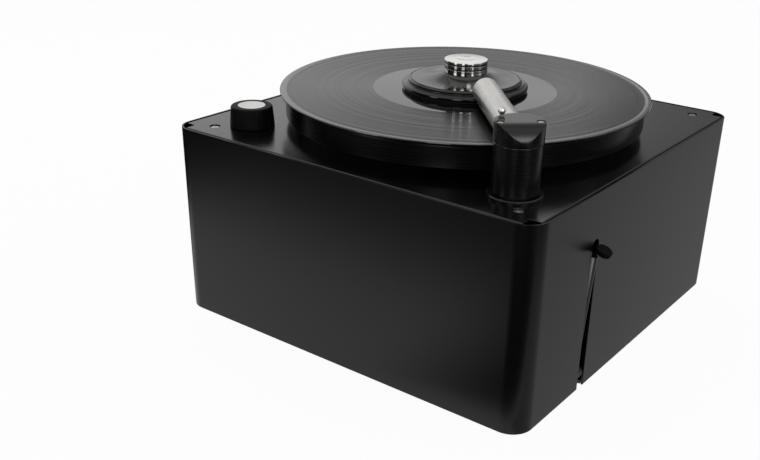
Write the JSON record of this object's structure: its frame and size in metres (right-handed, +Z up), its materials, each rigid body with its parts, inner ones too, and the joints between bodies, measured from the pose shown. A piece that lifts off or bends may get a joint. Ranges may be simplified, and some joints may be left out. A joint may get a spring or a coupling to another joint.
{
  "type": "record cleaning machine",
  "caption": "Square boxed record cleaner with a turning platter, screw-down clamp, sprung swivelling suction arm, rotary control and a side level tube.",
  "frame": {"origin": "centre of the base plate's flat underside, level with the casing's bottom edge, straight below the spindle; the feet reach 4 mm lower", "axes": "+X to the right side with the level tube, +Y to the back with the mains inlet, +Z up along the spindle"},
  "size_m": [0.3467, 0.3396, 0.2196],
  "materials": {
    "case_black": "fine satin black powder coat on folded steel",
    "plate_black": "satin black brushed and coated sheet",
    "base_black": "black coated steel sheet",
    "foot_rubber": "matt black rubber",
    "zinc_steel": "zinc plated sheet steel",
    "screw_steel": "bright plated machine screws",
    "machined_alloy": "turned aluminium",
    "bearing_steel": "ground steel",
    "gear_case": "grey painted die casting",
    "motor_can": "drawn metal can",
    "platter_black": "black turned plastic with a satin edge",
    "mat_rubber": "soft black mat",
    "vinyl": "gloss black vinyl with fine grooves and plain bands",
    "clamp_black": "turned black plastic, half gloss",
    "seal_red": "dark red rubber ring",
    "brass_insert": "turned brass",
    "knob_steel": "polished steel with fine turning marks",
    "pipe_alloy": "drawn aluminium pipe",
    "tower_black": "black anodised turned aluminium",
    "bush_plastic": "natural sliding bush plastic",
    "spring_steel": "spring wire",
    "seal_black": "black seal ring",
    "stud_steel": "polished ball end",
    "tube_alloy": "brushed natural aluminium tube",
    "pad_velvet": "short black velvet strip",
    "knob_plastic": "black moulded plastic with grip flutes",
    "inlay_silver": "spun silver disc",
    "switch_body": "dark moulded switch body",
    "tank_plastic": "black moulded tank",
    "fitting_black": "black moulded pipe fitting",
    "clear_tube": "milky translucent tube",
    "plug_rubber": "black rubber with a knurled edge",
    "duct_black": "black flexible duct",
    "vacuum_case": "pressed motor and fan housing",
    "inlet_black": "black moulded mains inlet",
    "pin_nickel": "nickel plated contact blades",
    "rocker_black": "black gloss rocker"
  },
  "bodies": {
    "machine": {"casing": "case_black", "top_plate": "plate_black", "base_plate": "base_black", "rubber_feet": "foot_rubber", "top_brackets": "zinc_steel", "bottom_brackets": "zinc_steel", "plate_screws": "screw_steel", "base_screws": "screw_steel", "bearing_housing": "machined_alloy", "spindle_bearings": "bearing_steel", "housing_screws": "screw_steel", "motor_bracket": "zinc_steel", "gearbox": "gear_case", "drive_motor": "motor_can", "motor_screws": "screw_steel", "stand_pipe": "pipe_alloy", "pipe_nut": "zinc_steel", "tower_ring": "tower_black", "rotary_switch": "switch_body", "switch_nut": "zinc_steel", "tank": "tank_plastic", "tank_lid": "tank_plastic", "drain_outlet": "fitting_black", "air_duct": "duct_black", "vacuum_motor": "vacuum_case", "vacuum_cushion": "foot_rubber", "vacuum_clamp": "zinc_steel", "power_inlet": "inlet_black", "inlet_pins": "pin_nickel", "inlet_screws": "screw_steel", "rocker_bezel": "inlet_black", "capacitor": "motor_can"},
    "turntable": {"output_shaft": "bearing_steel", "shaft_coupling": "machined_alloy", "spindle": "bearing_steel", "platter": "platter_black", "platter_mat": "mat_rubber", "record": "vinyl"},
    "clamp": {"clamp_disc": "clamp_black", "clamp_seal": "seal_red"},
    "clamp_screw": {"clamp_insert": "brass_insert", "clamp_knob": "knob_steel"},
    "swivel": {"swivel_bush": "bush_plastic", "lift_spring": "spring_steel"},
    "arm": {"arm_tower": "tower_black", "pipe_seal": "seal_black", "arm_cap": "tower_black", "cap_screws": "screw_steel", "ball_stud": "stud_steel", "suction_tube": "tube_alloy", "tube_plug": "tube_alloy", "arm_pads": "pad_velvet"},
    "knob": {"control_knob": "knob_plastic", "knob_inlay": "inlay_silver", "switch_shaft": "bearing_steel"},
    "drain_arm": {"drain_swivel": "fitting_black", "level_tube": "clear_tube"},
    "drain_cap": {"drain_plug": "plug_rubber"},
    "rocker": {"rocker_button": "rocker_black"}
  },
  "joints": [
    {"name": "platter_spin", "type": "hinge", "parent": "machine", "child": "turntable", "pos_m": [0, 0, 0.1855], "axis": [0, 0, 1], "continuous": true},
    {"name": "clamp_lift", "type": "slide", "parent": "turntable", "child": "clamp", "axis": [0, 0, 1], "range_m": [0, 0.01625]},
    {"name": "clamp_turn", "type": "hinge", "parent": "clamp", "child": "clamp_screw", "pos_m": [0, 0, 0.1985], "axis": [0, 0, 1], "range_deg": [0, 4680]},
    {"name": "arm_swivel", "type": "hinge", "parent": "machine", "child": "swivel", "pos_m": [0.125, -0.12461, 0.1605], "axis": [0, 0, 1], "range_deg": [-75, 8]},
    {"name": "arm_lift", "type": "slide", "parent": "swivel", "child": "arm", "axis": [0, 0, 1], "range_m": [-0.0006, 0.006], "stiffness_N_per_m": 400, "springref_m": 0.0022, "deforming": ["lift_spring"]},
    {"name": "knob_turn", "type": "hinge", "parent": "machine", "child": "knob", "pos_m": [-0.12, -0.125, 0.159], "axis": [0, 0, 1], "range_deg": [-60, 60]},
    {"name": "drain_swing", "type": "hinge", "parent": "machine", "child": "drain_arm", "pos_m": [0.1614, -0.078, 0.011], "axis": [0, 1, 0], "range_deg": [0, 85]},
    {"name": "plug_pull", "type": "slide", "parent": "drain_arm", "child": "drain_cap", "axis": [0.0836, 0, 0.9965], "range_m": [0, 0.0065]},
    {"name": "rocker_tilt", "type": "hinge", "parent": "machine", "child": "rocker", "pos_m": [-0.095, 0.165, 0.076], "axis": [1, 0, 0], "range_deg": [0, 12]}
  ],
  "couplings": [
    {"joint": "clamp_turn", "follows": "clamp_lift", "rad_per_m": 5026.5}
  ]
}
